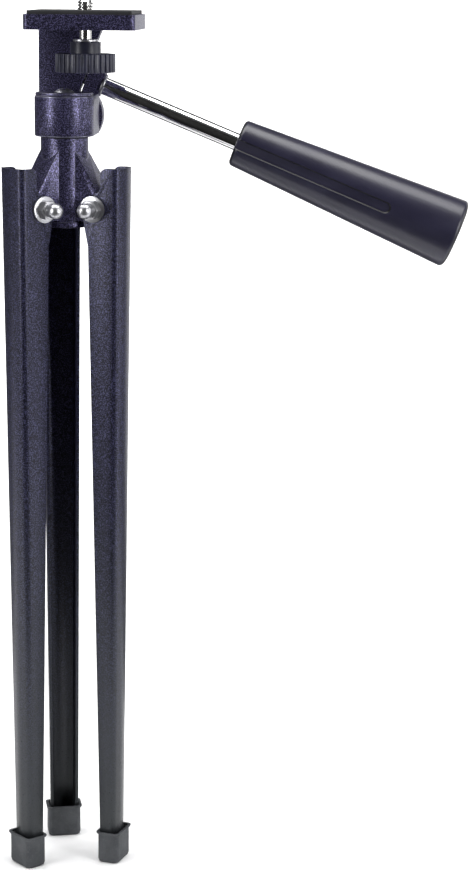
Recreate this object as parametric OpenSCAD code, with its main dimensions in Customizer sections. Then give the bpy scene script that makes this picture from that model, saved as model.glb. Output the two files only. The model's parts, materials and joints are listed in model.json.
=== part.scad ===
// Table-top tripod with folding steel legs and a pan and tilt head.
// Millimetres, +Z up. The origin is on the pan axis, on the surface that the feet stand on.
// The handle points along +X. The tilt axis runs along Y, through the tongue behind the collar.

/* [Stance] */
// Height of the leg hinges above the floor, legs folded
hinge_h = 277.4; // [200:0.1:350]
// Distance from the pan axis to each leg hinge
hinge_r = 15.5; // [14.8:0.1:20]
// Direction of the rear leg, in degrees from +X
rear_leg_angle = 103; // [0:1:119]

/* [Legs] */
// Outside width of a leg at its hinge
leg_w_top = 15; // [13:0.1:20]
// Outside width of a leg at the floor
leg_w_bottom = 11.8; // [9:0.1:14]
// Depth of the channel at the floor
leg_d_bottom = 7; // [5.5:0.1:9.5]
// Depth of the channel below its ear
leg_d_top = 14.3; // [12:0.1:17]
// Thickness of the pressed steel sheet
leg_sheet = 1.2; // [0.8:0.1:1.6]
// Outer radius of the two long bends
leg_bend_r = 2.8; // [2:0.1:4]
// How far the rounded back stands proud of its bends
leg_crown = 0.7; // [0:0.1:1]
// Distance from the hinge out to the back of the leg
leg_back_out = 11.9; // [11:0.1:15]
// How far the back draws in towards the pan axis at the floor
leg_tuck = 2.8; // [0:0.1:5]
// Height of the leg's open end above its hinge
leg_rise = 16.3; // [12:0.1:17]
// Depth of the channel above its ear
leg_neck_d = 8.6; // [6:0.1:9.5]
// Radius of the ear around the hinge
leg_ear_r = 5; // [4:0.1:6]

/* [Feet] */
// Height of a rubber foot
foot_h = 13.5; // [9:0.1:18]
// Thickness of rubber under the end of the leg
foot_sole = 3; // [2:0.1:5]
// Thickness of the foot's wall
foot_wall = 0.95; // [0.8:0.05:2]
// How far the lip flares past the wall
foot_lip = 0.6; // [0.3:0.05:1.2]
// Height of the lip
foot_lip_h = 1.5; // [1:0.1:2.5]

/* [Hub] */
// Diameter of the hub's round core
hub_d = 19.2; // [18:0.1:23]
// Height of the hub's underside above the hinges, below zero
hub_drop = 7.9; // [6:0.1:12]
// Height of the hub's flat top above the hinges
hub_rise = 27.6; // [24:0.1:36]
// Diameter of the rim around the underside
hub_rim_d = 20.4; // [19:0.1:25]
// Height of that rim
hub_rim_h = 2.2; // [1:0.1:4]
// Slope of the lug's outer face, from the vertical
lug_slope = 31.5; // [25:0.5:38]
// Diameter of the post that the collar turns on
post_d = 11; // [9:0.1:13]

/* [Hinge fasteners] */
// Diameter of the hinge stud
stud_d = 4; // [3:0.5:5]
// Outside diameter of the hinge washer
washer_d = 10.6; // [9:0.1:12]
// Thickness of the hinge washer
washer_t = 0.8; // [0.5:0.1:1.2]
// Cap nut size across its flats
nut_flats = 7; // [6:0.5:8]
// Height of the cap nut's hexagon
nut_hex_h = 3.6; // [3:0.1:5]
// Diameter of the cap nut's dome
nut_dome_d = 6.2; // [5.4:0.1:7]
// Height of the whole cap nut
nut_h = 10; // [8.5:0.1:11]

/* [Pan collar] */
// Diameter of the collar
collar_d = 24; // [22:0.1:30]
// Height of the collar
collar_h = 16.1; // [15:0.1:22]
// Distance from the pan axis to the back of the block
block_back = 18.9; // [16:0.1:24]
// Diameter of the disc on top of the collar
disc_d = 23.2; // [18:0.1:24]
// Thickness of that disc
disc_t = 1.2; // [0.8:0.1:2]
// Thickness of the fibre washer under the collar
fibre_t = 0.5; // [0.3:0.1:1]
// Diameter of the pan bolt
pan_bolt_d = 6; // [5:0.5:7]
// Diameter of the pan bolt's head
pan_head_d = 8.2; // [7.5:0.1:12]
// Height of the pan bolt's head
pan_head_h = 1.7; // [1.2:0.1:3]

/* [Tilt joint] */
// Height of the tilt axis above the collar's lower edge
tilt_rise = 7.2; // [6.5:0.1:11]
// Diameter of the axle that the tongue turns on
axle_d = 10; // [8:0.1:11]
// Half the width of the tongue, and the radius of its round end
tongue_r = 13.1; // [11.5:0.1:16]
// Thickness of the tongue
tongue_t = 7; // [6:0.1:10]
// Gap between the block and the tongue
tongue_gap = 0.6; // [0.2:0.1:1]
// Distance from the tilt axis down to the flat end of the tongue
tongue_foot = 7.6; // [6.5:0.1:9]
// Width of the slot that the handle closes
slot_w = 0.9; // [0.8:0.1:2]
// Thickness of the jaw beyond the slot
jaw_t = 6.6; // [5:0.1:9]
// Distance from the tilt axis to the tip of the jaw
jaw_reach = 24; // [22:0.5:28]

/* [Platform] */
// Height of the platform's top above the tilt axis
platform_rise = 41; // [38:0.1:55]
// Length of the platform, along X
platform_l = 44.2; // [36:0.1:60]
// Depth of the platform, along Y
platform_w = 44; // [38:0.1:50]
// Thickness of the platform
platform_t = 6; // [5:0.1:8]
// Radius of the platform's corners
platform_r = 2; // [0.5:0.1:5]
// Distance from the pan axis to the middle of the platform, along X
platform_x = 8; // [4:0.1:10]
// Thickness of the rubber pad
pad_t = 1.5; // [1:0.1:3]
// Width of the bare border around the pad
pad_border = 1.4; // [0.8:0.1:4]
// Width of each groove across the pad
pad_groove_w = 0.8; // [0.5:0.1:1.5]

/* [Camera screw] */
// Diameter of the camera thread
thread_d = 6.35; // [6:0.01:9.53]
// Length of thread above the pad
thread_out = 4; // [3:0.1:6]
// Diameter of the shank below the thread
shank_d = 4.9; // [4:0.1:5.2]
// How far the screw can rise before its washer meets the platform
screw_float = 3.8; // [2:0.1:4.5]
// Diameter of the thumb wheel
wheel_d = 24.2; // [18:0.1:26]
// Height of the ribbed rim
wheel_h = 7.4; // [5:0.1:9]
// Number of ribs
wheel_ribs = 30; // [20:1:40]
// Depth of the grooves between the ribs
rib_depth = 0.7; // [0.4:0.1:1]
// Diameter of the wheel's hub
wheel_hub_d = 12.5; // [10:0.1:15]
// Height of the wheel's hub
wheel_hub_h = 4.6; // [3:0.1:6]
// Diameter of the washer above the wheel
screw_washer_d = 10; // [8:0.1:12]
// Thickness of that washer
screw_washer_t = 1; // [0.6:0.1:1.5]

/* [Handle] */
// Angle of the handle below the horizontal
handle_drop = 22; // [0:0.5:45]
// Distance from the tilt axis to the axis of the rod
rod_reach = 16; // [14:0.1:19]
// Diameter of the rod
rod_d = 7.2; // [6:0.1:8]
// Diameter of the rod's threaded end
rod_thread_d = 5.4; // [4.5:0.1:6]
// Length of bare rod between the jaw and the grip
rod_bare = 60; // [40:0.5:100]
// Diameter of the ring at the root of the rod
ring_d = 9.4; // [8.5:0.1:12]
// Thickness of that ring
ring_t = 1; // [0.6:0.1:2]
// Length of the grip
grip_l = 98; // [70:1:140]
// Diameter of the grip at its inner end
grip_d_near = 19.8; // [16:0.1:24]
// Diameter of the grip at its outer end
grip_d_far = 28.8; // [20:0.1:34]
// Thickness of the grip's moulded wall
grip_wall = 2.8; // [2:0.1:4]
// Rounding of the grip's ends
grip_round = 2; // [1:0.1:3]
// Width of each flute along the grip, at its lips
flute_w = 5; // [4:0.1:6]
// Depth of each flute
flute_depth = 0.9; // [0.6:0.1:1.4]
// Share of the grip's length that a flute takes
flute_share = 0.7; // [0.4:0.05:0.8]

/* [Fits] */
// Radial clearance of a part that turns on another
run_fit = 0.05; // [0.02:0.01:0.1]
// Radial clearance of a part that is fixed in another
still_fit = 0.02; // [0.01:0.01:0.05]
// Gap between flat faces that slide over each other
face_gap = 0.1; // [0.05:0.01:0.3]

/* [Hidden] */

$fn = 64;
eps = 0.01;

leg_colour = [0.19, 0.20, 0.29];
cast_colour = [0.22, 0.22, 0.33];
rubber_colour = [0.24, 0.26, 0.28];
chrome_colour = [0.82, 0.82, 0.84];
plastic_colour = [0.12, 0.12, 0.20];
fibre_colour = [0.07, 0.07, 0.08];

// Directions of the three legs: rear, front left, front right
rear = 0;
left = 1;
right = 2;
function leg_angle(i) = rear_leg_angle + 120 * i;

// Heights up the pan axis
hub_bottom = hinge_h - hub_drop;
hub_top = hinge_h + hub_rise;
collar_bottom = hub_top + fibre_t + face_gap;
block_w = collar_d - 2 * face_gap;
collar_top = collar_bottom + collar_h;
disc_bottom = collar_top + face_gap;
disc_top = disc_bottom + disc_t;
tilt_h = collar_bottom + tilt_rise;
platform_top = tilt_h + platform_rise;
platform_bottom = platform_top - platform_t;
pad_top = platform_top + pad_t;

// Depths along the tilt axis
tongue_front = block_back + tongue_gap;
tongue_back = tongue_front + tongue_t;
tongue_mid = (tongue_front + tongue_back) / 2;
platform_y = tongue_back - platform_w / 2;

// Leg sections, measured along the leg from its open end to the floor
leg_top = hinge_h + leg_rise;
leg_end = foot_sole;
lug_t = leg_w_top - 2 * leg_sheet - 2 * face_gap;
function leg_mix(z, at_hinge, at_floor) = at_floor + (at_hinge - at_floor) * z / hinge_h;
function leg_width(z) = leg_mix(z, leg_w_top, leg_w_bottom);
function leg_back(z) = hinge_r + leg_back_out - leg_mix(z, 0, leg_tuck);
function leg_edge(z) = leg_back(z) - leg_mix(z, leg_d_top, leg_d_bottom);
leg_deepest = leg_back_out + leg_ear_r + 2;

// Camera screw, from the top down
thread_top = pad_top + thread_out;
screw_washer_top = platform_bottom - screw_float - face_gap;
wheel_hub_top = screw_washer_top - screw_washer_t - face_gap;
wheel_top = wheel_hub_top - wheel_hub_h;
wheel_bottom = wheel_top - wheel_h;

// Handle, measured along the rod from the slot's centre
jaw_face = slot_w / 2 + jaw_t;
ring_start = jaw_face + face_gap;
rod_shoulder = ring_start + ring_t;
grip_start = jaw_face + rod_bare;
grip_end = grip_start + grip_l;
rod_end = grip_start + 30;
thread_depth = 5.5;
cap_t = 3;

// Points of an arc, counter-clockwise from angle a to angle b
function arc(cx, cy, r, a, b, n = 8) = [
    for (k = [0:n]) [cx + r * cos(a + (b - a) * k / n), cy + r * sin(a + (b - a) * k / n)]
];

// Outline of a rectangle with round corners, centred on the origin
function round_rect(w, h, r) = concat(
    arc(w / 2 - r, h / 2 - r, r, 0, 90),
    arc(-w / 2 + r, h / 2 - r, r, 90, 180),
    arc(-w / 2 + r, -h / 2 + r, r, 180, 270),
    arc(w / 2 - r, -h / 2 + r, r, 270, 360)
);

module slab(w, h, r, z0, z1) {
    translate([0, 0, z0])
        linear_extrude(z1 - z0)
            polygon(round_rect(w, h, r));
}

module ring(d_out, d_in, z0, z1) {
    difference() {
        translate([0, 0, z0]) cylinder(d = d_out, h = z1 - z0);
        translate([0, 0, z0 - eps]) cylinder(d = d_in, h = z1 - z0 + 2 * eps);
    }
}

// Places its children at a leg: X runs outwards from the pan axis, Y along the hinge stud
module at_leg(i) {
    rotate([0, 0, leg_angle(i)]) children();
}

// Places its children on a hinge: Z runs along the stud, away from the leg's middle
module on_hinge(side) {
    translate([hinge_r, 0, hinge_h])
        rotate([-90 * side, 0, 0])
            children();
}

// Places its children on the handle: X runs along the rod from the slot, Z away from the tilt axis
module on_handle() {
    translate([0, tongue_mid, tilt_h])
        rotate([0, handle_drop, 0])
            translate([0, 0, rod_reach])
                children();
}

// Places its children on the tilt axis: Z runs backwards along the axle
module on_tilt_axis(y) {
    translate([0, y, tilt_h])
        rotate([-90, 0, 0])
            children();
}

module on_screw_axis() {
    translate([platform_x, platform_y, 0]) children();
}

// ---- Hub ----

// Side outline of a lug: it slopes out from the core and ends in a round eye at the hinge
module lug() {
    nx = cos(lug_slope);
    ny = sin(lug_slope);
    slope_len = (hinge_r + leg_ear_r * nx) / tan(lug_slope);
    eye_r = leg_ear_r;
    difference() {
        rotate([90, 0, 0])
            translate([0, 0, -lug_t / 2])
                linear_extrude(lug_t)
                    polygon(concat(
                        [[0, hinge_h + eye_r * ny + slope_len]],
                        [[0, hinge_h - eye_r]],
                        arc(hinge_r, hinge_h, eye_r, -90, lug_slope, 16)
                    ));
        translate([0, 0, hub_top])
            cylinder(d = hub_d, h = slope_len);
    }
}

module spider_hub() {
    recess_d = hub_d - 8;
    recess_h = 3;
    bolt_depth = 14;
    post_top = collar_top - face_gap;
    color(cast_colour)
        difference() {
            union() {
                translate([0, 0, hub_bottom]) cylinder(d = hub_rim_d, h = hub_rim_h);
                translate([0, 0, hub_bottom]) cylinder(d = hub_d, h = hub_top - hub_bottom);
                translate([0, 0, hub_top - eps]) cylinder(d = post_d, h = post_top - hub_top + eps);
                for (i = [rear, left, right])
                    at_leg(i) lug();
            }
            translate([0, 0, hub_bottom - eps]) cylinder(d = recess_d, h = recess_h);
            translate([0, 0, hub_top - bolt_depth])
                cylinder(d = pan_bolt_d + 2 * still_fit, h = post_top - hub_top + bolt_depth + eps);
            for (i = [rear, left, right])
                at_leg(i)
                    translate([hinge_r, lug_t, hinge_h])
                        rotate([90, 0, 0])
                            cylinder(d = stud_d + 2 * still_fit, h = 2 * lug_t);
        }
}

module pan_fibre_washer() {
    color(fibre_colour)
        ring(hub_d - 0.6, post_d + 2 * run_fit, hub_top, hub_top + fibre_t);
}

module pan_top_disc() {
    color(cast_colour)
        ring(disc_d, pan_bolt_d + 2 * still_fit, disc_bottom, disc_top);
}

// Low round head with a screwdriver slot, on a plain shank
module pan_bolt() {
    shank_bottom = hub_top - 13;
    dome_r = (pan_head_d * pan_head_d / 4 + pan_head_h * pan_head_h) / (2 * pan_head_h);
    half_angle = asin(pan_head_d / 2 / dome_r);
    slot = [1.1, pan_head_d + 1, 0.8];
    color(chrome_colour)
        difference() {
            rotate_extrude()
                polygon(concat(
                    [[0, shank_bottom], [pan_bolt_d / 2, shank_bottom], [pan_bolt_d / 2, disc_top]],
                    arc(0, disc_top + pan_head_h - dome_r, dome_r, 90 - half_angle, 90, 10)
                ));
            translate([-slot[0] / 2, -slot[1] / 2, disc_top + pan_head_h - slot[2]])
                cube([slot[0], slot[1], slot[2] + 1]);
        }
}

// ---- Hinge fasteners ----

stud_half = leg_w_top / 2 + 2 * face_gap + washer_t + nut_h * 0.6;

module hinge_stud(i) {
    color(chrome_colour)
        at_leg(i)
            on_hinge(1)
                translate([0, 0, -stud_half])
                    cylinder(d = stud_d, h = 2 * stud_half);
}

module hinge_washers(i) {
    start = leg_w_top / 2 + face_gap;
    color(chrome_colour)
        at_leg(i)
            for (side = [-1, 1])
                on_hinge(side)
                    ring(washer_d, stud_d + 2 * run_fit, start, start + washer_t);
}

// Hexagon with chamfered corners, a short neck and a round dome
module cap_nut() {
    corner = nut_flats / cos(30);
    dome_r = nut_dome_d / 2;
    chamfer = (corner - nut_flats) / 2;
    difference() {
        union() {
            intersection() {
                cylinder(d = corner, h = nut_hex_h, $fn = 6);
                rotate_extrude()
                    polygon([
                        [0, 0], [corner / 2 - chamfer * 0.6, 0], [corner / 2 + eps, chamfer * 0.5],
                        [corner / 2 + eps, nut_hex_h - chamfer * 0.8],
                        [nut_flats / 2 - 0.1, nut_hex_h], [0, nut_hex_h]
                    ]);
            }
            rotate_extrude()
                polygon(concat(
                    [[0, nut_hex_h - 1], [dome_r - 0.25, nut_hex_h - 1],
                     [dome_r - 0.25, nut_hex_h + 0.5]],
                    arc(0, nut_h - dome_r, dome_r, 0, 90, 12)
                ));
        }
        translate([0, 0, -eps])
            cylinder(d = stud_d + 2 * still_fit, h = nut_h * 0.6 + 2 * face_gap);
    }
}

module cap_nuts(i) {
    color(chrome_colour)
        at_leg(i)
            for (side = [-1, 1])
                on_hinge(side)
                    translate([0, 0, leg_w_top / 2 + face_gap + washer_t + still_fit])
                        cap_nut();
}

// ---- Legs ----

// Cross-section of a leg: X outwards with the back's crown at zero, Y across the leg
function leg_section(w, d, bend, crown) = concat(
    [[-d, -w / 2]],
    arc(-crown - bend, -w / 2 + bend, bend, -90, 0),
    [for (k = [-3:3]) [-crown * k * k / 16, k / 4 * (w / 2 - bend)]],
    arc(-crown - bend, w / 2 - bend, bend, 0, 90),
    [[-d, w / 2]]
);

// Tapered solid between the leg's two ends; inset is 0 for its outside, the sheet for its inside
module leg_taper(inset, over) {
    hull()
        for (z = [leg_end - over, leg_top + over])
            translate([leg_back(z) - inset, 0, z])
                linear_extrude(eps)
                    polygon(leg_section(
                        leg_width(z) - 2 * inset, leg_deepest, leg_bend_r - inset, leg_crown
                    ));
}

// Side outline of a leg: narrow above the hinge, a round ear at it, then a tapering channel
function leg_outline() = let (
    far = leg_back(hinge_h) + 10,
    neck = leg_back(leg_top) - leg_neck_d,
    corner = 2.2,
    fillet = 3,
    ear_top = hinge_h + leg_ear_r,
    below_ear = hinge_h - 15
) concat(
    [[far, leg_end - 1], [far, leg_top + 1]],
    [[neck + corner, leg_top + 1]],
    arc(neck + corner, leg_top - corner, corner, 90, 180),
    arc(neck - fillet, ear_top + 1.2 + fillet, fillet, 0, -75),
    arc(hinge_r, hinge_h, leg_ear_r, 90, 195, 12),
    [[leg_edge(below_ear), below_ear], [leg_edge(0), leg_end - 1]]
);

module leg(i) {
    color(leg_colour)
        at_leg(i)
            difference() {
                intersection() {
                    difference() {
                        leg_taper(0, 0);
                        leg_taper(leg_sheet, 1);
                    }
                    rotate([90, 0, 0])
                        translate([0, 0, -leg_w_top])
                            linear_extrude(2 * leg_w_top)
                                polygon(leg_outline());
                }
                translate([hinge_r, leg_w_top, hinge_h])
                    rotate([90, 0, 0])
                        cylinder(d = stud_d + 2 * run_fit, h = 2 * leg_w_top);
            }
}

// ---- Feet ----

// Moulded rubber boot: a pocket for the leg's end, round lower edges and a flared lip
module foot(i) {
    pocket_w = leg_width(foot_h) + 2 * face_gap;
    pocket_d = leg_back(foot_h) - leg_edge(foot_h) + 2 * face_gap;
    body_w = pocket_w + 2 * foot_wall;
    body_d = pocket_d + 2 * foot_wall;
    round_off = 1.6;
    color(rubber_colour)
        at_leg(i)
            translate([(leg_back(leg_end) + leg_edge(leg_end)) / 2, 0, 0])
                difference() {
                    union() {
                        hull() {
                            slab(body_d - 1.6, body_w - 1.6, 2, 0, 1);
                            slab(body_d - 0.5, body_w - 0.5, 2, 0.5, 1.5);
                            slab(body_d, body_w, 2, round_off, foot_h - 0.3);
                        }
                        hull() {
                            slab(body_d - 0.2, body_w - 0.2, 2, foot_h - foot_lip_h, foot_h);
                            slab(body_d + 2 * foot_lip, body_w + 2 * foot_lip, 2, foot_h - 0.5, foot_h);
                        }
                    }
                    slab(pocket_d, pocket_w, 0.2, foot_sole - face_gap, foot_h + 1);
                    slab(pocket_d + foot_wall, pocket_w + foot_wall, 1.4, foot_h - 1, foot_h + 1);
                }
}

// ---- Pan collar and tilt joint ----

axle_shank_d = axle_d - 3;
axle_shank_l = 9;

module pan_collar() {
    color(cast_colour)
        difference() {
            union() {
                translate([0, 0, collar_bottom]) cylinder(d = collar_d, h = collar_h, $fn = 96);
                translate([-block_w / 2, 0, collar_bottom]) cube([block_w, block_back, collar_h]);
            }
            translate([0, 0, collar_bottom - 1])
                cylinder(d = post_d + 2 * run_fit, h = collar_h + 2);
            on_tilt_axis(block_back - axle_shank_l - 0.2)
                cylinder(d = axle_shank_d + 2 * still_fit, h = axle_shank_l + 1);
        }
}

// Shouldered steel axle, fixed in the block; the tongue turns on its large end
module tilt_axle() {
    screw_hole = 3 + 2 * still_fit;
    color(chrome_colour)
        difference() {
            union() {
                on_tilt_axis(block_back - axle_shank_l)
                    cylinder(d = axle_shank_d, h = axle_shank_l + eps);
                on_tilt_axis(block_back)
                    cylinder(d = axle_d, h = tongue_back + face_gap - block_back);
            }
            on_tilt_axis(tongue_back - 8)
                cylinder(d = screw_hole, h = 10);
        }
}

tilt_washer_t = 1;

module tilt_washer() {
    start = tongue_back + face_gap;
    color(chrome_colour)
        on_tilt_axis(start)
            ring(axle_d + 5, 3 + 2 * run_fit, 0, tilt_washer_t);
}

// Pan-head screw that holds the tongue on its axle
module tilt_screw() {
    head_d = 6.4;
    head_h = 2.2;
    start = tongue_back + face_gap + tilt_washer_t;
    color(chrome_colour)
        on_tilt_axis(start)
            difference() {
                rotate_extrude()
                    polygon(concat(
                        [[0, -7], [1.5, -7], [1.5, 0], [head_d / 2, 0]],
                        arc(head_d / 2 - 1, head_h - 1, 1, 0, 90),
                        [[0, head_h]]
                    ));
                for (a = [0, 90])
                    rotate([0, 0, a])
                        translate([-2, -0.45, head_h - 1.2])
                            cube([4, 0.9, 2]);
            }
}

// ---- Tilt bracket ----

// Front outline of the tongue, with the tilt axis at the origin and the slot's line as s
function along_slot(u, s) = [
    u * cos(handle_drop) + s * sin(handle_drop),
    -u * sin(handle_drop) + s * cos(handle_drop)
];

function tongue_outline() = let (
    top = platform_rise - platform_t + 1,
    cut_angle = asin(tongue_foot / tongue_r),
    jaw_angle = 90 - handle_drop - acos(sqrt(tongue_r * tongue_r - jaw_face * jaw_face) / tongue_r),
    edge_u = -slot_w / 2 - 0.75,
    edge_s = (top + edge_u * sin(handle_drop)) / cos(handle_drop)
) concat(
    [[-tongue_r, top]],
    arc(0, 0, tongue_r, 180, 180 + cut_angle, 12),
    arc(0, 0, tongue_r, -cut_angle, jaw_angle, 24),
    [along_slot(jaw_face, jaw_reach), along_slot(edge_u, jaw_reach), along_slot(edge_u, edge_s)]
);

module tilt_bracket() {
    color(cast_colour)
        difference() {
            union() {
                on_screw_axis()
                    slab(platform_l, platform_w, platform_r, platform_bottom, platform_top);
                translate([0, tongue_back, tilt_h])
                    rotate([90, 0, 0])
                        linear_extrude(tongue_t)
                            polygon(tongue_outline());
            }
            on_tilt_axis(tongue_front - 1)
                cylinder(d = axle_d + 2 * run_fit, h = tongue_t + 2);
            translate([0, tongue_mid, tilt_h])
                rotate([0, handle_drop, 0])
                    translate([-slot_w / 2, -tongue_t, 0])
                        cube([slot_w, 2 * tongue_t, jaw_reach + 1]);
            on_handle()
                translate([-slot_w / 2 - thread_depth, 0, 0])
                    rotate([0, 90, 0])
                        cylinder(d = rod_thread_d + 2 * run_fit, h = thread_depth + slot_w + jaw_t + 1);
            on_screw_axis()
                translate([0, 0, platform_bottom - 1])
                    cylinder(d = shank_d + 2 * run_fit, h = platform_t + 2);
        }
}

module platform_pad() {
    pad_l = platform_l - 2 * pad_border;
    pad_w = platform_w - 2 * pad_border;
    pitch = 3 * pad_groove_w;
    grooves = floor((pad_w / 2 - 2) / pitch);
    groove_depth = 0.4;
    color(fibre_colour)
        on_screw_axis()
            difference() {
                slab(pad_l, pad_w, max(platform_r - pad_border, 0.5), platform_top, pad_top);
                for (k = [-grooves:grooves])
                    translate([-pad_l, k * pitch - pad_groove_w / 2, pad_top - groove_depth])
                        cube([2 * pad_l, pad_groove_w, 1]);
                translate([0, 0, platform_top - 1])
                    cylinder(d = thread_d + 2.4, h = pad_t + 2);
            }
}

// ---- Camera screw ----

// Captive screw: its thread can't pass the platform's hole, its thin shank turns in it
module camera_stud() {
    lead_in = 0.8;
    color(chrome_colour)
        on_screw_axis()
            rotate_extrude()
                polygon([
                    [0, wheel_bottom + 1], [shank_d / 2, wheel_bottom + 1],
                    [shank_d / 2, platform_top + face_gap], [thread_d / 2, platform_top + face_gap],
                    [thread_d / 2, thread_top - lead_in], [thread_d / 2 - lead_in, thread_top],
                    [0, thread_top]
                ]);
}

module screw_washer() {
    color(chrome_colour)
        on_screw_axis()
            ring(screw_washer_d, shank_d + 2 * run_fit,
                 screw_washer_top - screw_washer_t, screw_washer_top);
}

// Four points of one rib: two on its crest and two at its root
function rib(k) = let (step = 360 / wheel_ribs, out = wheel_d / 2, root = wheel_d / 2 - rib_depth) [
    for (p = [[root, -0.42], [out, -0.26], [out, 0.26], [root, 0.42]])
        [p[0] * cos((k + p[1]) * step), p[0] * sin((k + p[1]) * step)]
];

module thumb_wheel() {
    ribbed = [for (k = [0:wheel_ribs - 1]) each rib(k)];
    color(plastic_colour)
        on_screw_axis()
            difference() {
                union() {
                    translate([0, 0, wheel_bottom]) linear_extrude(wheel_h) polygon(ribbed);
                    translate([0, 0, wheel_top - 1]) cylinder(d = wheel_hub_d, h = wheel_hub_h + 1);
                }
                translate([0, 0, wheel_bottom + 1 - face_gap])
                    cylinder(d = shank_d + 2 * still_fit, h = wheel_h + wheel_hub_h + 1);
            }
}

// ---- Handle ----

module handle_rod() {
    color(chrome_colour)
        on_handle()
            rotate([0, 90, 0])
                rotate_extrude()
                    polygon([
                        [0, face_gap - slot_w / 2 - thread_depth + 0.5],
                        [rod_thread_d / 2, face_gap - slot_w / 2 - thread_depth + 0.5],
                        [rod_thread_d / 2, rod_shoulder + still_fit],
                        [rod_d / 2, rod_shoulder + still_fit],
                        [rod_d / 2, rod_end], [0, rod_end]
                    ]);
}

module rod_ring() {
    color(chrome_colour)
        on_handle()
            rotate([0, 90, 0])
                ring(ring_d, rod_thread_d + 2 * still_fit, ring_start, rod_shoulder);
}

// Side outline of the grip, from its axis outwards
function grip_radius(x) = (grip_d_near + (grip_d_far - grip_d_near) * x / grip_l) / 2;
function core_radius(x) = grip_radius(x) - grip_wall;

// A groove along the grip with a flat floor and sloping walls, open at its near end and round at the other
module flute(side) {
    slope = atan((grip_d_far - grip_d_near) / 2 / grip_l);
    run = flute_share * grip_l;
    wall_run = 0.7 * flute_depth;
    above = 2;
    translate([0, side * (grip_radius(0) - flute_depth), 0])
        rotate([0, 0, side * slope])
            hull()
                for (x = [-5, run - flute_w / 2])
                    translate([x, 0, 0])
                        rotate([-90 * side, 0, 0])
                            cylinder(
                                d1 = flute_w - 2 * wall_run,
                                d2 = flute_w + 2 * wall_run * above / flute_depth,
                                h = flute_depth + above
                            );
}

module handle_grip() {
    core_start = 34;
    mouth = 0.8;
    color(plastic_colour)
        on_handle()
            translate([grip_start, 0, 0])
                difference() {
                    rotate([0, 90, 0])
                        rotate_extrude($fn = 96)
                            polygon(concat(
                                [[0, 0]],
                                arc(grip_radius(0) - grip_round, grip_round, grip_round, -90, 0),
                                arc(grip_radius(grip_l) - grip_round, grip_l - grip_round,
                                    grip_round, 0, 90),
                                [[0, grip_l]]
                            ));
                    for (side = [-1, 1]) flute(side);
                    rotate([0, 90, 0])
                        rotate_extrude()
                            polygon([
                                [0, -1], [rod_d / 2 + mouth, -1], [rod_d / 2 + mouth, mouth],
                                [rod_d / 2 + still_fit, mouth], [rod_d / 2 + still_fit, core_start - eps],
                                [core_radius(core_start), core_start],
                                [core_radius(grip_l + 1), grip_l + 1], [0, grip_l + 1]
                            ]);
                }
}

// Plug that closes the grip's hollow core
module grip_end_cap() {
    cap_r = core_radius(grip_l - 0.8) - run_fit;
    cap_r_in = core_radius(grip_l - cap_t) - run_fit;
    color(plastic_colour)
        on_handle()
            translate([grip_end, 0, 0])
                rotate([0, 90, 0])
                    rotate_extrude()
                        polygon([
                            [0, -cap_t], [cap_r_in, -cap_t], [cap_r, -0.8], [cap_r - 0.6, -0.2],
                            [0, -0.2]
                        ]);
}

spider_hub();
pan_fibre_washer();
pan_top_disc();
pan_bolt();
hinge_stud(rear);  // hinge_stud_rear
hinge_stud(left);  // hinge_stud_left
hinge_stud(right);  // hinge_stud_right
hinge_washers(rear);  // hinge_washers_rear
hinge_washers(left);  // hinge_washers_left
hinge_washers(right);  // hinge_washers_right
cap_nuts(rear);  // cap_nuts_rear
cap_nuts(left);  // cap_nuts_left
cap_nuts(right);  // cap_nuts_right
leg(rear);  // leg_rear
leg(left);  // leg_left
leg(right);  // leg_right
foot(rear);  // foot_rear
foot(left);  // foot_left
foot(right);  // foot_right
pan_collar();
tilt_axle();
tilt_washer();
tilt_screw();
tilt_bracket();
platform_pad();
screw_washer();
camera_stud();
thumb_wheel();
handle_rod();
rod_ring();
handle_grip();
grip_end_cap();
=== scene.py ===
import json
import math

import bmesh
import bpy
from mathutils import Matrix, Vector


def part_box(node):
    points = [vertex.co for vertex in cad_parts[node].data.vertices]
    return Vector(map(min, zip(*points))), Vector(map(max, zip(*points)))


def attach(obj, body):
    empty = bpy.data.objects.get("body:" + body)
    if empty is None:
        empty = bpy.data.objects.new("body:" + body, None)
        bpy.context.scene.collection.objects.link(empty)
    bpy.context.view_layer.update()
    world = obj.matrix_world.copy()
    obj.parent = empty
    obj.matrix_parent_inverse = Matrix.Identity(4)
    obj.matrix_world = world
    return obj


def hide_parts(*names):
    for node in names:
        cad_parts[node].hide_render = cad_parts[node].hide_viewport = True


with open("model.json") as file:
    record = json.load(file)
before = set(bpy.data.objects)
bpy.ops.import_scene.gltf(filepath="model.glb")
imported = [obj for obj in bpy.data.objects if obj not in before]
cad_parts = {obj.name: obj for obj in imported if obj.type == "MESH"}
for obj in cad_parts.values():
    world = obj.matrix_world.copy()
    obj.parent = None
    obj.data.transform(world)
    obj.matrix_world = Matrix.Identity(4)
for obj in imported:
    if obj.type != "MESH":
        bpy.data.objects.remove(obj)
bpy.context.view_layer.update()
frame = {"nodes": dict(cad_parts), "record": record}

MM = 0.001
WELD = 0.002 * MM  # vertices closer than this are one vertex
SHARP_ANGLE = 32  # degrees: edges that turn by more than this are shaded sharp
ROUND_ANGLE = 30  # degrees: edges that turn by more than this are rounded
ROUND_SEGMENTS = 2
RING_SEGMENTS = 128
THREAD_SEGMENTS = 60
scene = bpy.context.scene



def body_of(node):
    """The body that a CAD node belongs to."""
    bodies = frame["record"]["behaviour"]["bodies"]
    return next(b for b, members in bodies.items() if node in members)


def axis_of(joint):
    """A point on a joint's axis, and the axis's direction."""
    row = next(j for j in frame["record"]["behaviour"]["joints"] if j["name"] == joint)
    return Vector(row["pos_m"]), Vector(row["axis"]).normalized()


# ---------------------------------------------------------------- camera

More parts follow.
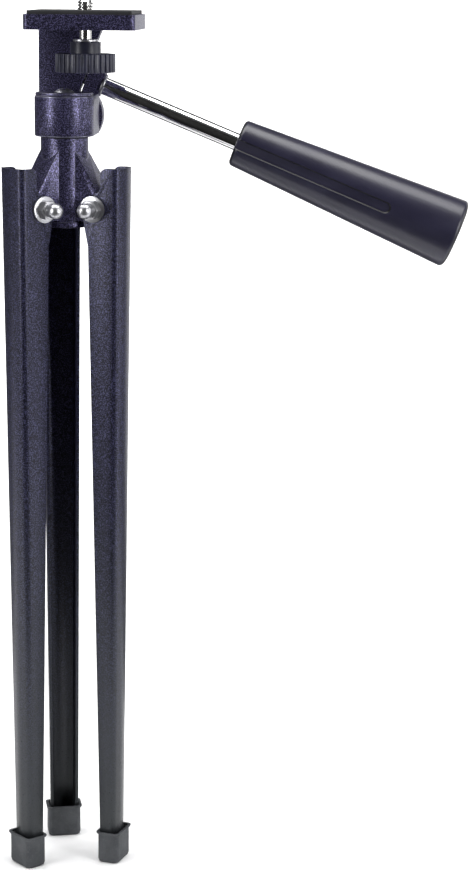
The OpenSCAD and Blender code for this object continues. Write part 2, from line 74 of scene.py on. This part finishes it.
# The view of the photograph: a long lens, slightly to the right of the front, looking down a little.
# Angles are in degrees, distances in metres from the tripod's upright axis and the floor, the lens in millimetres.
VIEW_AZIMUTH, VIEW_PITCH, VIEW_ROLL = 7.6, 11.7, 0.6
VIEW_DISTANCE, VIEW_HEIGHT, VIEW_HEADING = 0.882, 0.3655, 3.06
VIEW_LENS, FILM_WIDTH = 89.8, 36.0

camera_data = bpy.data.cameras.new("camera")
camera_data.lens = VIEW_LENS
camera_data.sensor_width = FILM_WIDTH
camera_data.clip_start = 0.01
camera_data.clip_end = 50.0
camera = bpy.data.objects.new("camera", camera_data)
scene.collection.objects.link(camera)
azimuth = math.radians(VIEW_AZIMUTH)
camera.matrix_world = (
    Matrix.Translation((VIEW_DISTANCE * math.sin(azimuth), -VIEW_DISTANCE * math.cos(azimuth), VIEW_HEIGHT))
    @ Matrix.Rotation(math.radians(VIEW_HEADING), 4, "Z")
    @ Matrix.Rotation(math.radians(90 - VIEW_PITCH), 4, "X")
    @ Matrix.Rotation(math.radians(VIEW_ROLL), 4, "Z")
)
scene.camera = camera


# ---------------------------------------------------------------- materials

class Shader:
    """A material's node tree, with short calls for the nodes that the finishes share."""

    def __init__(self, name):
        self.material = bpy.data.materials.new(name)
        self.material.use_nodes = True
        self.tree = self.material.node_tree
        self.tree.nodes.clear()
        self.out = self.tree.nodes.new("ShaderNodeOutputMaterial")
        self.bsdf = self.tree.nodes.new("ShaderNodeBsdfPrincipled")
        self.link(self.bsdf.outputs["BSDF"], self.out.inputs["Surface"])
        self.place = self.tree.nodes.new("ShaderNodeTexCoord").outputs["Object"]

    def link(self, a, b):
        self.tree.links.new(a, b)

    def set(self, **values):
        """Sets plain values on the surface's sockets."""
        for key, value in values.items():
            self.bsdf.inputs[key.replace("_", " ")].default_value = value

    def stretched(self, scale):
        """The piece's coordinates, scaled differently along each axis."""
        node = self.tree.nodes.new("ShaderNodeMapping")
        node.inputs["Scale"].default_value = scale
        self.link(self.place, node.inputs["Vector"])
        return node.outputs["Vector"]

    def height(self):
        """The height above the ground where the piece stands at rest, in metres."""
        node = self.tree.nodes.new("ShaderNodeSeparateXYZ")
        self.link(self.place, node.inputs["Vector"])
        return node.outputs["Z"]

    def noise(self, scale, detail, rough, place=None):
        node = self.tree.nodes.new("ShaderNodeTexNoise")
        node.inputs["Scale"].default_value = scale
        node.inputs["Detail"].default_value = detail
        node.inputs["Roughness"].default_value = rough
        self.link(place or self.place, node.inputs["Vector"])
        return node.outputs["Fac"]

    def cells(self, scale):
        node = self.tree.nodes.new("ShaderNodeTexVoronoi")
        node.inputs["Scale"].default_value = scale
        self.link(self.place, node.inputs["Vector"])
        return node.outputs["Distance"]

    def ramp(self, value, *stops):
        """Turns a value into a grey or a colour, from (value, grey or colour) stops."""
        node = self.tree.nodes.new("ShaderNodeValToRGB")
        ramp = node.color_ramp
        while len(ramp.elements) < len(stops):
            ramp.elements.new(0.5)
        for element, (at, colour) in zip(ramp.elements, stops):
            element.position = at
            if isinstance(colour, (int, float)):
                colour = (colour, colour, colour)
            element.color = (*colour, 1.0)
        self.link(value, node.inputs["Fac"])
        return node.outputs["Color"]

    def mix(self, factor, a, b):
        """Mixes two colours. The node has a set of sockets for each kind of data: colours are inputs 6 and 7."""
        node = self.tree.nodes.new("ShaderNodeMix")
        node.data_type = "RGBA"
        for socket, value in ((node.inputs["Factor"], factor), (node.inputs[6], a), (node.inputs[7], b)):
            if isinstance(value, bpy.types.NodeSocket):
                self.link(value, socket)
            else:
                socket.default_value = value if isinstance(value, (int, float)) else (*value, 1.0)
        return node.outputs[2]

    def math(self, kind, a, b):
        node = self.tree.nodes.new("ShaderNodeMath")
        node.operation = kind
        for socket, value in zip(node.inputs, (a, b)):
            if isinstance(value, bpy.types.NodeSocket):
                self.link(value, socket)
            else:
                socket.default_value = value
        return node.outputs[0]

    def face_layer(self, name):
        node = self.tree.nodes.new("ShaderNodeAttribute")
        node.attribute_name = name
        return node.outputs["Fac"]

    def wear_and_highlight_patches(self, scale, low, high):
        """Paler patches along the rounded edges of a piece, partly where handling rubs its finish and partly a
        painted highlight where the edges catch the light; 0 on its faces.
        """
        patches = self.ramp(self.noise(scale, detail=4.0, rough=0.65), (low, 0.0), (high, 1.0))
        return self.math("MULTIPLY", self.face_layer("rounded_edge"), patches)

    def bump(self, *layers):
        """Stacks bumps, each a (height, strength, depth in metres)."""
        normal = None
        for height, strength, depth in layers:
            node = self.tree.nodes.new("ShaderNodeBump")
            node.inputs["Strength"].default_value = strength
            node.inputs["Distance"].default_value = depth
            self.link(height, node.inputs["Height"])
            if normal is not None:
                self.link(normal, node.inputs["Normal"])
            normal = node.outputs["Normal"]
        self.link(normal, self.bsdf.inputs["Normal"])

    def colour(self, socket):
        self.link(socket, self.bsdf.inputs["Base Color"])

    def roughness(self, socket):
        self.link(socket, self.bsdf.inputs["Roughness"])


def speckled_enamel(name, base, fleck, edge_wear_and_highlight, metallic, rough, dusty=None):
    """Baked enamel: pale flecks in a dark ground, on a slightly wrinkled coat, and dust towards the floor."""
    s = Shader(name)
    grain = s.noise(scale=2100, detail=2.0, rough=0.5)
    cloud = s.noise(scale=38, detail=3.0, rough=0.5)
    sheen = s.noise(scale=2200, detail=2.0, rough=0.5)
    wrinkles = s.noise(scale=260, detail=3.0, rough=0.5)
    dots = s.cells(scale=2000)
    brighter, sheen_spread = 1.3, 0.12
    dusty_height, clean_height = 0.02, 0.19
    ground = s.mix(s.ramp(cloud, (0.35, 0.0), (0.7, 1.0)), base, tuple(c * brighter for c in base))
    flecked = s.mix(s.ramp(grain, (0.46, 0.0), (0.66, 1.0)), ground, fleck)
    if dusty:
        flecked = s.mix(s.ramp(s.height(), (dusty_height, 1.0), (clean_height, 0.0)), flecked, dusty)
    # Paler patches on the rounded edges: partly worn enamel, partly a painted highlight along the edges.
    s.colour(s.mix(s.wear_and_highlight_patches(scale=120, low=0.35, high=0.60), flecked, edge_wear_and_highlight))
    s.roughness(s.ramp(sheen, (0.3, rough - sheen_spread), (0.7, rough + sheen_spread)))
    s.bump((dots, 0.25, 0.09 * MM), (grain, 0.40, 0.08 * MM), (wrinkles, 0.10, 0.3 * MM))
    s.set(Metallic=metallic, Coat_Weight=0.10, Coat_Roughness=0.35)
    return s.material


def bright_metal(name, base, dull, rough, along=(1, 1, 1), grime=0.15):
    """Nickel or chrome plate with faint polishing marks, smudges and patches of tarnish."""
    s = Shader(name)
    marks = s.noise(scale=900, detail=3.0, rough=0.5, place=s.stretched(along))
    smudge = s.noise(scale=110, detail=2.0, rough=0.5)
    tarnish = s.noise(scale=240, detail=3.0, rough=0.5)
    tarnish_colour = (0.26, 0.25, 0.23)
    smoother, rougher = 0.88, 1.12
    plate = s.mix(s.ramp(smudge, (0.35, 0.0), (0.75, 1.0)), base, dull)
    s.colour(s.mix(s.ramp(tarnish, (0.45, 0.0), (0.85, grime)), plate, tarnish_colour))
    s.roughness(s.ramp(s.mix(0.5, marks, smudge), (0.3, rough * smoother), (0.7, rough * rougher)))
    s.bump((marks, 0.02, 0.01 * MM))
    s.set(Metallic=1.0)
    return s.material


def moulded_plastic(name, base, light, rough, pebbles=1800, coat=0.0):
    """Moulded plastic: a fine pebbled skin, faint flow clouds, paler edges that are partly rubbed and partly a
    painted highlight, and painted shade on the walls of its grooves.
    """
    s = Shader(name)
    flow = s.noise(scale=45, detail=4.0, rough=0.55, place=s.stretched((1.0, 2.2, 2.2)))
    skin = s.noise(pebbles, detail=2.0, rough=0.5)
    groove_shade = (0.001, 0.001, 0.002)
    rubbed_and_highlit = tuple(c * 2 + 0.02 for c in light)
    tone = s.mix(s.ramp(flow, (0.35, 0.0), (0.7, 1.0)), base, light)
    # The sloping walls of the grooves are painted near-black as shade.
    tone = s.mix(s.face_layer("groove_wall"), tone, groove_shade)
    # Paler patches on the rounded edges: partly rubbed plastic, partly a painted highlight along the edges.
    s.colour(s.mix(s.wear_and_highlight_patches(scale=220, low=0.42, high=0.70), tone, rubbed_and_highlit))
    s.roughness(s.ramp(s.mix(0.4, skin, flow), (0.3, rough - 0.06), (0.7, rough + 0.09)))
    s.bump((skin, 0.16, 0.06 * MM), (flow, 0.10, 0.4 * MM))
    s.set(Coat_Weight=coat, Coat_Roughness=0.22)
    return s.material


def soft_rubber(name, base, dusty, rough=0.72):
    """Matt rubber with a grainy skin, and pale dust caught on it."""
    s = Shader(name)
    grain = s.noise(scale=1300, detail=4.0, rough=0.62)
    dust = s.noise(scale=90, detail=5.0, rough=0.6)
    ripple = s.noise(scale=320, detail=2.0, rough=0.5)
    palest = tuple(c * 1.6 + 0.01 for c in dusty)
    sheen_spread = 0.12
    tone = s.mix(s.ramp(dust, (0.45, 0.0), (0.78, 0.85)), base, dusty)
    s.colour(s.mix(s.ramp(grain, (0.55, 0.0), (0.8, 0.5)), tone, palest))
    s.roughness(s.ramp(grain, (0.3, rough - sheen_spread), (0.7, rough + sheen_spread)))
    s.bump((grain, 0.35, 0.12 * MM), (ripple, 0.2, 0.3 * MM))
    return s.material


casting_enamel = speckled_enamel(
    "casting_enamel", base=(0.008, 0.007, 0.020), fleck=(0.140, 0.130, 0.275), edge_wear_and_highlight=(0.26, 0.26, 0.34),
    metallic=0.60, rough=0.36)
leg_enamel = speckled_enamel(
    "leg_enamel", base=(0.004, 0.004, 0.011), fleck=(0.066, 0.066, 0.145), edge_wear_and_highlight=(0.13, 0.14, 0.18),
    metallic=0.50, rough=0.38, dusty=(0.024, 0.027, 0.030))
nickel = bright_metal("nickel_plate", base=(0.60, 0.60, 0.63), dull=(0.50, 0.50, 0.53), rough=0.36)
rod_chrome = bright_metal(
    "rod_chrome", base=(0.83, 0.83, 0.83), dull=(0.72, 0.72, 0.72), rough=0.06, along=(0.12, 1.6, 1.6), grime=0.05)
screw_plate = bright_metal(
    "screw_plate", base=(0.78, 0.78, 0.77), dull=(0.60, 0.59, 0.57), rough=0.16, along=(1, 1, 3), grime=0.5)
foot_rubber = soft_rubber("foot_rubber", base=(0.028, 0.031, 0.036), dusty=(0.070, 0.074, 0.080))
pad_rubber = soft_rubber("pad_rubber", base=(0.012, 0.012, 0.014), dusty=(0.034, 0.034, 0.038), rough=0.66)
fibre = soft_rubber("fibre", base=(0.008, 0.008, 0.009), dusty=(0.020, 0.020, 0.021), rough=0.8)
wheel_plastic = moulded_plastic(
    "wheel_plastic", base=(0.013, 0.014, 0.028), light=(0.026, 0.027, 0.050), rough=0.36)
grip_plastic = moulded_plastic(
    "grip_plastic", base=(0.010, 0.009, 0.023), light=(0.015, 0.014, 0.033), rough=0.34, pebbles=2000, coat=0.1)


# ---------------------------------------------------------------- meshes

def finished(mesh, name, material, body, node, sharp=SHARP_ANGLE):
    """Makes a piece of a mesh, in place of a CAD node: smooth but for sharp edges, and riding on its body."""
    mesh.name = name
    mesh.materials.clear()
    mesh.materials.append(material)
    mesh.polygons.foreach_set("use_smooth", [True] * len(mesh.polygons))
    mesh.set_sharp_from_angle(angle=math.radians(sharp))
    piece = bpy.data.objects.new(name, mesh)
    scene.collection.objects.link(piece)
    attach(piece, body)
    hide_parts(node)


def cad_copy(node):
    """A clean copy of a CAD node's mesh: welded, with its flat faces whole again."""
    bm = bmesh.new()
    bm.from_mesh(frame["nodes"][node].data)
    bmesh.ops.remove_doubles(bm, verts=bm.verts, dist=WELD)
    flat_angle = math.radians(0.3)
    bmesh.ops.dissolve_limit(
        bm, angle_limit=flat_angle, verts=bm.verts, edges=bm.edges, use_dissolve_boundaries=False)
    return bm


def round_edges(bm, width, angle):
    """Rounds and marks the edges that turn by more than an angle, as casting, moulding and enamel do."""
    mark = bm.faces.layers.float.new("rounded_edge")
    sharp = [e for e in bm.edges if len(e.link_faces) == 2 and e.calc_face_angle(0) > math.radians(angle)]
    made = bmesh.ops.bevel(
        bm, geom=sharp, offset=width, offset_type="OFFSET", segments=ROUND_SEGMENTS, profile=0.5,
        affect="EDGES", clamp_overlap=True, loop_slide=True, miter_outer="ARC")
    for face in made["faces"]:
        face[mark] = 1.0


def mark_grooves(bm, joint):
    """Marks the sloping walls of the grooves along a turned piece, which are painted dark as shade, and clears the
    edge mark on the faces around them, so they get no paler edge patches.
    """
    mark = bm.faces.layers.float.new("groove_wall")
    rubbed_and_highlit = bm.faces.layers.float["rounded_edge"]
    start, axis = axis_of(joint)
    square_on, hollow_radius = 0.85, 5 * MM
    bm.normal_update()
    for face in bm.faces:
        out = face.calc_center_median() - start
        out -= out.dot(axis) * axis
        if abs(face.normal.dot(axis)) < square_on and out.length > hollow_radius:
            face[mark] = 1.0 if face.normal.dot(out.normalized()) < square_on else 0.0
    for face in [f for f in bm.faces if f[mark]]:
        for vert in face.verts:
            for near in vert.link_faces:
                near[rubbed_and_highlit] = 0.0


def from_cad(node, material, width, angle=ROUND_ANGLE, grooved=None):
    """A piece with a CAD node's shape and rounded edges; grooved names the joint whose axis its grooves follow."""
    bm = cad_copy(node)
    round_edges(bm, width, angle)
    if grooved:
        mark_grooves(bm, grooved)
    mesh = bpy.data.meshes.new(node)
    bm.to_mesh(mesh)
    bm.free()
    finished(mesh, node + "_finish", material, body_of(node), node)


def dressed(node, material):
    """Gives a CAD node that keeps its own shape a better finish."""
    mesh = frame["nodes"][node].data
    mesh.materials.clear()
    mesh.materials.append(material)


def turned(node, joint, material, chamfer):
    """A turned piece made again as clean rings about its joint's axis, with its steps taken from the CAD node."""
    start, axis = axis_of(joint)
    on_axis, decimals, sharp = 0.1 * MM, 4, 20
    steps = set()
    for vert in frame["nodes"][node].data.vertices:
        along = (vert.co - start).dot(axis)
        radius = (vert.co - start - along * axis).length
        if radius > on_axis:
            steps.add((round(along, decimals), round(radius, decimals)))
    steps = sorted(steps)
    far, wide = steps[-1]
    profile = [(steps[0][0], 0.0)] + steps[:-1] + [(far - chamfer, wide), (far, wide - chamfer), (far, 0.0)]
    bm = bmesh.new()
    rings = []
    for along, radius in profile:
        count = RING_SEGMENTS if radius else 1
        rings.append([
            bm.verts.new((radius * math.cos(2 * math.pi * i / RING_SEGMENTS),
                          radius * math.sin(2 * math.pi * i / RING_SEGMENTS), along))
            for i in range(count)
        ])
    for a, b in zip(rings, rings[1:]):
        for i in range(RING_SEGMENTS):
            j = (i + 1) % RING_SEGMENTS
            corners = [a[i % len(a)], a[j % len(a)], b[j % len(b)], b[i % len(b)]]
            bm.faces.new(list(dict.fromkeys(corners)))
    turn = Vector((0, 0, 1)).rotation_difference(axis).to_matrix().to_4x4()
    bmesh.ops.transform(bm, matrix=Matrix.Translation(start) @ turn, verts=bm.verts)
    bmesh.ops.recalc_face_normals(bm, faces=bm.faces)
    mesh = bpy.data.meshes.new(node)
    bm.to_mesh(mesh)
    bm.free()
    finished(mesh, node + "_finish", material, body_of(node), node, sharp)


# ---------------------------------------------------------------- castings

from_cad("spider_hub", casting_enamel, 0.3 * MM, angle=28)
from_cad("pan_collar", casting_enamel, 0.5 * MM)
from_cad("pan_top_disc", casting_enamel, 0.3 * MM)
from_cad("tilt_bracket", casting_enamel, 0.4 * MM)

# ---------------------------------------------------------------- legs and feet

for side in ("rear", "left", "right"):
    from_cad("leg_" + side, leg_enamel, 0.22 * MM, angle=40)
    from_cad("foot_" + side, foot_rubber, 0.35 * MM, angle=40)
    from_cad("hinge_washers_" + side, nickel, 0.15 * MM)
    from_cad("cap_nuts_" + side, nickel, 0.15 * MM)
    dressed("hinge_stud_" + side, nickel)

# ---------------------------------------------------------------- pan and tilt fittings

from_cad("pan_bolt", nickel, 0.12 * MM)
from_cad("tilt_screw", nickel, 0.12 * MM)
from_cad("tilt_washer", nickel, 0.15 * MM)
from_cad("screw_washer", nickel, 0.15 * MM)
dressed("tilt_axle", nickel)
dressed("pan_fibre_washer", fibre)
from_cad("platform_pad", pad_rubber, 0.12 * MM)
from_cad("thumb_wheel", wheel_plastic, 0.22 * MM)


# ---------------------------------------------------------------- camera screw

def camera_screw():
    """The screw with its real helical thread, on the plain shank that it turns on."""
    low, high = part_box("camera_stud")
    axis_x, axis_y = (low.x + high.x) / 2, (low.y + high.y) / 2
    crest, pitch = (high.x - low.x) / 2, 1.27 * MM
    root, shank = crest - 0.70 * MM, crest - 0.725 * MM
    z0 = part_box("tilt_bracket")[1].z + 0.1 * MM
    z1 = high.z
    tip, tip_slope, start_slope = root - 0.25 * MM, 1.1, 1.6

    # One turn's outline as (share of the pitch, radius), drawn from below the thread's start to above its end
    outline = ((0.0, root), (0.14, root), (0.46, crest), (0.60, crest))
    turns = int((z1 - z0) / pitch) + 3
    rows = []
    for n in range(turns):
        rows += [(n * pitch + at * pitch - 1.5 * pitch, r) for at, r in outline]
    bm = bmesh.new()
    grid = []
    for offset, radius in rows:
        line = []
        for i in range(THREAD_SEGMENTS + 1):
            z = min(max(z0 + offset + pitch * i / THREAD_SEGMENTS, z0), z1)
            r = min(radius, tip + (z1 - z) * tip_slope, shank + (z - z0) * start_slope)
            a = 2 * math.pi * i / THREAD_SEGMENTS
            line.append(bm.verts.new((axis_x + r * math.cos(a), axis_y + r * math.sin(a), z)))
        grid.append(line)
    for a, b in zip(grid, grid[1:]):
        for i in range(THREAD_SEGMENTS):
            bm.faces.new((a[i], a[i + 1], b[i + 1], b[i]))

    # Where the rows are held at the thread's ends their faces have no area
    same_place, no_area, sharp = 0.001 * MM, 1e-13, 40
    bmesh.ops.remove_doubles(bm, verts=bm.verts, dist=same_place)
    flat = [f for f in bm.faces if f.calc_area() < no_area]
    bmesh.ops.delete(bm, geom=flat, context="FACES")
    bmesh.ops.delete(bm, geom=[v for v in bm.verts if not v.link_faces], context="VERTS")

    # The lower rim is drawn down as the shank, and both ends are closed
    rim = [e for e in bm.edges if e.is_boundary and all(v.co.z < z0 + same_place for v in e.verts)]
    drawn = bmesh.ops.extrude_edge_only(bm, edges=rim)["geom"]
    bmesh.ops.translate(
        bm, vec=(0, 0, low.z - z0), verts=[v for v in drawn if isinstance(v, bmesh.types.BMVert)])
    bmesh.ops.holes_fill(bm, edges=[e for e in bm.edges if e.is_boundary], sides=0)
    bmesh.ops.recalc_face_normals(bm, faces=bm.faces)
    mesh = bpy.data.meshes.new("camera_screw")
    bm.to_mesh(mesh)
    bm.free()
    finished(mesh, "camera_screw_finish", screw_plate, "camera_screw", "camera_stud", sharp)


camera_screw()

# ---------------------------------------------------------------- handle

turned("handle_rod", "handle_twist", rod_chrome, chamfer=0.3 * MM)
from_cad("rod_ring", nickel, 0.2 * MM)
from_cad("handle_grip", grip_plastic, 0.12 * MM, angle=35, grooved="handle_twist")
from_cad("grip_end_cap", grip_plastic, 0.2 * MM)


# ---------------------------------------------------------------- studio

def paper():
    """White backdrop paper with faint clouds and a fine tooth."""
    s = Shader("paper")
    clouds = s.noise(scale=3.0, detail=2.0, rough=0.5)
    fibres = s.noise(scale=400, detail=2.0, rough=0.5)
    tooth = s.noise(scale=700, detail=3.0, rough=0.5)
    s.colour(s.mix(clouds, (0.88, 0.88, 0.885), (0.92, 0.92, 0.92)))
    s.roughness(s.ramp(fibres, (0.3, 0.75), (0.7, 0.9)))
    s.bump((tooth, 0.05, 0.2 * MM))
    return s.material


def sweep():
    """A paper sweep: a flat floor that curves up into the backdrop. Bright metal shows only its middle part."""
    half_width, front_y, shown_y, curve_y, curve_radius, top = 3.4, 0.5, 0.16, 1.6, 0.9, 3.2
    curve_step, curve_points = 5, 19
    front = [(-front_y, 0.0), (-shown_y, 0.0)]
    floor = [(-shown_y, 0.0), (shown_y, 0.0)]
    rise = [(shown_y, 0.0)]
    for k in range(curve_points):
        a = math.radians(curve_step * k)
        rise.append((curve_y + curve_radius * math.sin(a), curve_radius - curve_radius * math.cos(a)))
    rise.append((curve_y + curve_radius, top))
    stock = paper()
    sheets = (("paper_front", front, False), ("paper_floor", floor, True), ("paper_sweep", rise, False))
    for name, profile, shown in sheets:
        verts = [(x, y, z) for x in (-half_width, half_width) for y, z in profile]
        n = len(profile)
        mesh = bpy.data.meshes.new(name)
        mesh.from_pydata(verts, [], [(i, i + 1, n + i + 1, n + i) for i in range(n - 1)])
        mesh.materials.append(stock)
        mesh.polygons.foreach_set("use_smooth", [True] * len(mesh.polygons))
        sheet = bpy.data.objects.new(name, mesh)
        scene.collection.objects.link(sheet)
        sheet.visible_glossy = shown


def softbox(name, place, aim, size, power):
    """A rectangular light, aimed at a point. The camera doesn't see it, but bright metal does."""
    light = bpy.data.lights.new(name, "AREA")
    light.shape = "RECTANGLE"
    light.size, light.size_y = size
    light.energy = power
    lamp = bpy.data.objects.new(name, light)
    scene.collection.objects.link(lamp)
    lamp.location = place
    lamp.visible_camera = False
    lamp.rotation_euler = (Vector(aim) - Vector(place)).to_track_quat("-Z", "Y").to_euler()


def flag():
    """A dark cloth behind the camera, which bright metal shows as its black band. The camera never sees it."""
    left, right, y, half_height = -1.9, 2.1, -1.75, 2.2
    cloth = Shader("flag_cloth")
    weave = cloth.noise(scale=90, detail=3.0, rough=0.6)
    cloth.colour(cloth.mix(weave, (0.010, 0.010, 0.010), (0.022, 0.022, 0.020)))
    cloth.roughness(cloth.ramp(weave, (0.3, 0.85), (0.7, 1.0)))
    corners = [(left, y, -half_height), (right, y, -half_height), (right, y, half_height), (left, y, half_height)]
    mesh = bpy.data.meshes.new("flag")
    mesh.from_pydata(corners, [], [(0, 1, 2, 3)])
    mesh.materials.append(cloth.material)
    card = bpy.data.objects.new("flag", mesh)
    scene.collection.objects.link(card)
    card.visible_camera = False


sweep()
flag()
middle = (0.04, 0.0, 0.2)
softbox("overhead_softbox", place=(0.0, 0.06, 1.9), aim=(0.0, 0.06, 0.0), size=(2.4, 1.1), power=50)
softbox("left_softbox", place=(-1.15, -0.96, 0.50), aim=middle, size=(0.35, 1.1), power=13)
softbox("right_softbox", place=(1.24, -0.84, 0.50), aim=middle, size=(0.35, 1.1), power=13)
softbox("side_softbox", place=(1.40, 0.25, 0.45), aim=middle, size=(0.7, 1.2), power=6)
softbox("rear_card", place=(0.65, 1.5, 0.25), aim=middle, size=(1.1, 1.2), power=4.5)
softbox("backdrop_wash", place=(0.0, 0.9, 1.5), aim=(0.0, 2.5, 0.8), size=(2.6, 0.8), power=60)

world = bpy.data.worlds.new("studio")
world.use_nodes = True
background = world.node_tree.nodes["Background"]
background.inputs["Color"].default_value = (0.93, 0.94, 0.97, 1)
background.inputs["Strength"].default_value = 0.13
scene.world = world
scene.view_settings.view_transform = "Standard"
